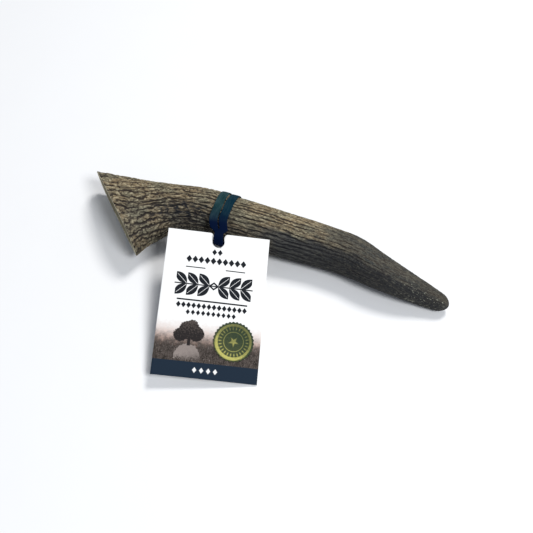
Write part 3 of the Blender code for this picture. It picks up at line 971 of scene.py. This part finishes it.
# The band: one closed strip, twice round the beam and through the notch.
bandShape = {
    "width": 3.5,
    "pinch": 1.05,              # how much wider the strip is in the notch
    "thickness": 0.6,
    "middle": -21.2,
    "lane": 2.04,               # from the band's middle to the middle of either strip
    "clearance": -0.06,         # over the plain outline; the bark lies a little inside it
    "layer": 0.68,              # how much higher one strip lies where it crosses the other
    "noseUp": 1.45,             # from the hole's middle up to the nose point
    "notchStack": 2.12,         # from the nose point to the middle of the two layers in the notch
    "riseTurn": 40.0,           # degrees round the beam over which it climbs
    "spread": (0.09, 0.25),     # share of the run over which the two strips part
    "swing": (0.10, 0.68),      # and over which they turn from the notch to run square round the beam
    "runSteps": 46,
    "wrapSteps": 120,
    "noseSteps": 30,
    "around": 28,
    "edgePowers": (0.42, 0.6),  # how square the strip's section is
    "ripple": (7.0, 0.05),      # length along the strip, and depth
    "waver": (5.0, 0.05),       # length, and share of the width
}


def beltTangents(toPoint, half):
    # angles of the normals of the two straight runs of a belt round an ellipse and a point, the upper run
    # first: their tangent t solves (dz^2 - b^2) t^2 + 2 dy dz t + (dy^2 - a^2) = 0
    (dy, dz), (a, b) = toPoint, half
    root = math.sqrt((dy * dz)**2 - (dz**2 - b**2) * (dy**2 - a**2))
    normals = []
    for sign in (-1, 1):
        angle = math.atan((-dy * dz + sign * root) / (dz**2 - b**2))
        if dy * math.cos(angle) + dz * math.sin(angle) < 0:
            angle += math.pi
        normals.append(angle % (2 * math.pi))
    return sorted(normals)


def bandTurn(lane, firstLayer, lastLayer, nose, slotSlope):
    # across the beam the strip follows the tightest belt round the beam's ellipse and the nose point, moved
    # out along its normal; along the beam it runs from the notch to its own lane
    b = bandShape
    noseX, nose = nose[0], nose[1:]
    centre, half = np.reshape(axisAt(b["middle"] + lane * b["lane"]), (2, 2))
    over, under = beltTangents(nose - centre, half)
    under -= 2 * math.pi
    run = np.linspace(0, 1, b["runSteps"])
    wrap = np.linspace(over, under, b["wrapSteps"])[1:-1]
    bend = np.linspace(under, over - 2 * math.pi, b["noseSteps"])[1:-1]
    angle = np.concatenate([np.full(len(run), over), wrap, np.full(len(run), under), bend])
    away = np.concatenate([run, np.ones(len(wrap)), run[::-1], np.zeros(len(bend))])
    normal = np.stack([np.cos(angle), np.sin(angle)], 1)
    onBeam = centre + normal * half**2 / np.linalg.norm(normal * half, axis=1, keepdims=True)
    inside = nose + (onBeam - nose) * away[:, None]

    rise = math.radians(b["riseTurn"])
    layer = firstLayer * smoothStep(rise, 0, over - angle) + lastLayer * smoothStep(rise, 0, angle - under)
    noseLift = b["notchStack"] - b["clearance"] - (b["thickness"] + b["layer"]) / 2
    offset = b["clearance"] + b["thickness"] / 2 + noseLift * (1 - away) + b["layer"] * layer
    middle = inside + normal * offset[:, None]
    spread = smoothStep(*b["spread"], away)
    inSlot = noseX + slotSlope * (middle[:, 0] - nose[0])
    x = inSlot + (b["middle"] - inSlot) * smoothStep(*b["swing"], away) + lane * b["lane"] * spread
    return np.column_stack([x, middle, normal, b["width"] * (b["pinch"] + (1 - b["pinch"]) * spread), away])


def makeBand():
    # a flat strip with rounded edges and a faint ripple, carried along two turns joined in a ring
    b, t = bandShape, tagShape
    corner, across, upward, _ = tagAxes()
    hole = corner + across * t["holeU"] + upward * (t["height"] - t["holeDrop"])
    nose = hole + upward * (b["noseUp"] / math.hypot(upward[1], upward[2]))
    path = np.concatenate([bandTurn(lane, first, last, nose, upward[0] / upward[1])
                           for lane, first, last in ((-1, 0, 1), (1, 1, 0))])
    middle, normal, width = path[:, :3], path[:, 3:5], path[:, 5]
    walked = walkedAlong(middle)[:, None]
    turn = fullTurn(b["around"])
    acrossPower, throughPower = b["edgePowers"]
    sideways = width[:, None] / 2 * signedPower(np.cos(turn), acrossPower)
    depth = b["thickness"] / 2 * signedPower(np.sin(turn), throughPower)[None] + 0 * sideways
    run, deep = b["ripple"]
    strands = np.stack([walked / run + 0 * sideways, sideways * 0.8, 0 * sideways + 2.5], -1)
    depth = depth + deep * slopeNoise(strands, 21) * np.sign(np.sin(turn))
    run, share = b["waver"]
    sideways = sideways * (1 + share * slopeNoise(np.stack([walked / run, 0 * walked, 0 * walked], -1), 22))
    points = np.stack([middle[:, :1] + sideways, middle[:, 1:2] + normal[:, :1] * depth,
                       middle[:, 2:3] + normal[:, 1:] * depth], -1)
    rows, columns = sideways.shape
    stored = {
        "away": path[:, 6:] + 0 * sideways,
        "second": (np.arange(rows)[:, None] >= rows // 2) + 0 * sideways,
        "strip": np.stack([walked + 0 * sideways, sideways, depth], -1),
    }
    points = points.reshape(-1, 3) + antlerShape["foot"]
    faces = [gridFaces(rows, columns, closedRows=True)]
    piece = makePiece("rubberBand", points, faces, stored, [rubberFinish()])
    standFor(piece, "band")
    print("the band is about", round(float(walked[-1, 0])), "mm round both turns")


rubberLook = {
    "teal": ((0.008, 0.030, 0.034), (0.002, 0.018, 0.032)),   # of the first turn and of the second
    # navy: painted shade of the strip toward the notch
    "navy": (0.0008, 0.0045, 0.021),
    "bloom": (0.034, 0.068, 0.076),
}


def rubberFinish():
    # dark blue-green rubber with a pale bloom in streaks along the strip, darkening to navy toward the notch
    # as painted shade; the second turn is bluer and has less bloom
    look = rubberLook
    f = Finish("blue-green rubber")
    strip = f.stored("strip", "Vector")
    streak = f.noise(strip, (0.25, 3.0, 3.0), 3.0, 0.6)
    cloud = f.noise(strip, 0.16, 2.0)
    grain = f.noise(strip, 9.0, 3.0, 0.6)
    second = f.stored("second")
    color = f.mix(second, *look["teal"])
    bloom = (streak * 0.5 + cloud * 0.5).step(0.40, 0.66)
    color = f.mix(bloom * (0.85 - 0.5 * second), color, look["bloom"])
    # painted shade: navy toward the notch
    color = f.mix((f.stored("away") + (cloud - 0.5) * 0.3).step(0.98, 0.35), color, look["navy"])
    return f.surface(color, 0.55 + 0.2 * grain, 0.02, (streak * 0.6 + grain * 0.4, 0.05, 0.6))


studio = {
    "floorSize": 6000.0,
    "floor": (0.80, 0.803, 0.81),
    "lightAway": 950.0,
    "lightPower": 5.6,
    "key": ((0.17, 0.58, 1.0), 280.0, (1.0, 0.985, 0.96)),   # direction, size, colour: high behind the antler
    "top": ((0.62, -0.37, 1.0), 300.0, (0.97, 0.985, 1.0)),  # the same, at the front right
    "surround": (0.29, 0.31, 0.345),
}


def makeFloor():
    # one square at height 0
    mesh = bpy.data.meshes.new("floor")
    corners = np.array([(-1, -1, 0), (1, -1, 0), (1, 1, 0), (-1, 1, 0)]) * studio["floorSize"] / 2 * mm
    mesh.from_pydata(corners.tolist(), [], [(0, 1, 2, 3)])
    floor = intoScene("floor", mesh)
    f = Finish("white paper sweep")
    mottle = f.noise(f.place(), 60.0)
    near, far = studio["floor"], tuple(0.985 * c for c in studio["floor"])
    mesh.materials.append(f.surface(f.mix(mottle, near, far), 0.9, 0.2))


def makeLight(name):
    # a disc that faces the middle of the floor
    direction, size, color = studio[name]
    lamp = bpy.data.lights.new(name, "AREA")
    lamp.shape = "DISK"
    lamp.size = size * mm
    lamp.energy = studio["lightPower"]
    lamp.color = color
    toLamp = Vector(direction).normalized()
    light = intoScene(name, lamp)
    light.location = toLamp * studio["lightAway"] * mm
    light.rotation_euler = toLamp.to_track_quat("Z", "Y").to_euler()


def makeSurround():
    # an even bluish grey on every side
    world = bpy.data.worlds.new("surround")
    world.use_nodes = True
    world.node_tree.nodes["Background"].inputs["Color"].default_value = (*studio["surround"], 1)
    bpy.context.scene.world = world


view = {
    "aim": (3.3, 20.6, 0.0),
    "away": 348.0,
    "azimuth": 18.0,
    "elevation": 56.0,
    "lens": 57.41,
    "sensor": 36.0,
    "clipFrom": 10.0,
}


def makeCamera():
    # the camera stands at aim + away * direction and looks back along it
    azimuth, elevation = math.radians(view["azimuth"]), math.radians(view["elevation"])
    toCamera = Vector((math.sin(azimuth) * math.cos(elevation), -math.cos(azimuth) * math.cos(elevation),
                       math.sin(elevation)))
    lens = bpy.data.cameras.new("view")
    lens.lens = view["lens"]
    lens.sensor_width = view["sensor"]
    lens.clip_start = view["clipFrom"] * mm
    camera = intoScene("view", lens)
    camera.location = (Vector(view["aim"]) + toCamera * view["away"]) * mm
    camera.rotation_euler = toCamera.to_track_quat("Z", "Y").to_euler()
    bpy.context.scene.camera = camera


makeCamera()
makeFloor()
makeLight("key")
makeLight("top")
makeSurround()
print("studio: camera, floor, two lights and an even surround")
makeAntler()
makeTag()
makeSeal()
makeBand()
bpy.context.scene.view_settings.view_transform = "Standard"
